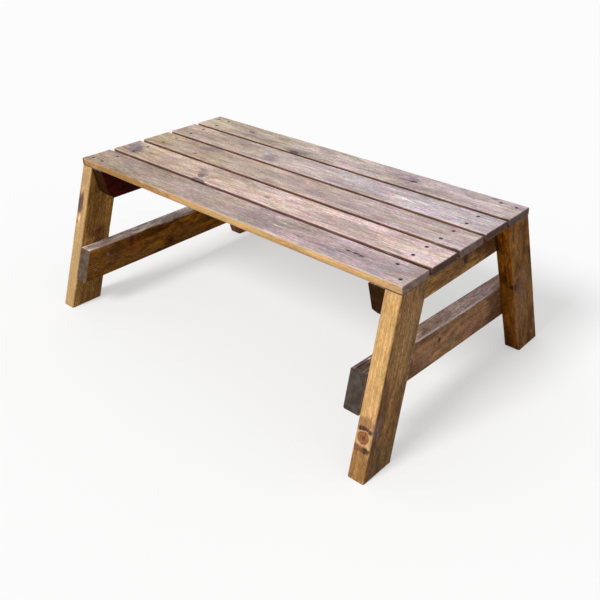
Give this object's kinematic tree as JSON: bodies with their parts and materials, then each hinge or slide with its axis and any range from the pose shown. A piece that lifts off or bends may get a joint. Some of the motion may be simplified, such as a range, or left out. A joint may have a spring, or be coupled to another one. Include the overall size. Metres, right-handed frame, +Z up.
{
  "type": "garden table",
  "caption": "Low rectangular garden table: a slatted top of lengthwise boards screwed to splayed trestles with cross rails.",
  "frame": {"origin": "middle of the table on the ground, under the centre of the top", "axes": "+X along the boards to the right end, +Y across the boards to the back, +Z up"},
  "size_m": [1.2, 0.7984, 0.45],
  "materials": {
    "top_boards": "weathered brown wood stain, greyish pink, matt",
    "legs": "golden brown wood stain, satin",
    "rails": "brown wood stain, satin",
    "screws": "dark coated steel"
  },
  "bodies": {
    "root": {"top_board_1": "top_boards", "top_board_2": "top_boards", "top_board_3": "top_boards", "top_board_4": "top_boards", "top_board_5": "top_boards", "leg_front_left": "legs", "leg_back_left": "legs", "leg_front_right": "legs", "leg_back_right": "legs", "top_rail_left": "rails", "top_rail_right": "rails", "low_rail_left": "rails", "low_rail_right": "rails", "screws_board_1": "screws", "screws_board_2": "screws", "screws_board_3": "screws", "screws_board_4": "screws", "screws_board_5": "screws", "screws_top_rail_left": "screws", "screws_top_rail_right": "screws", "screws_low_rail_left": "screws", "screws_low_rail_right": "screws"}
  },
  "joints": []
}
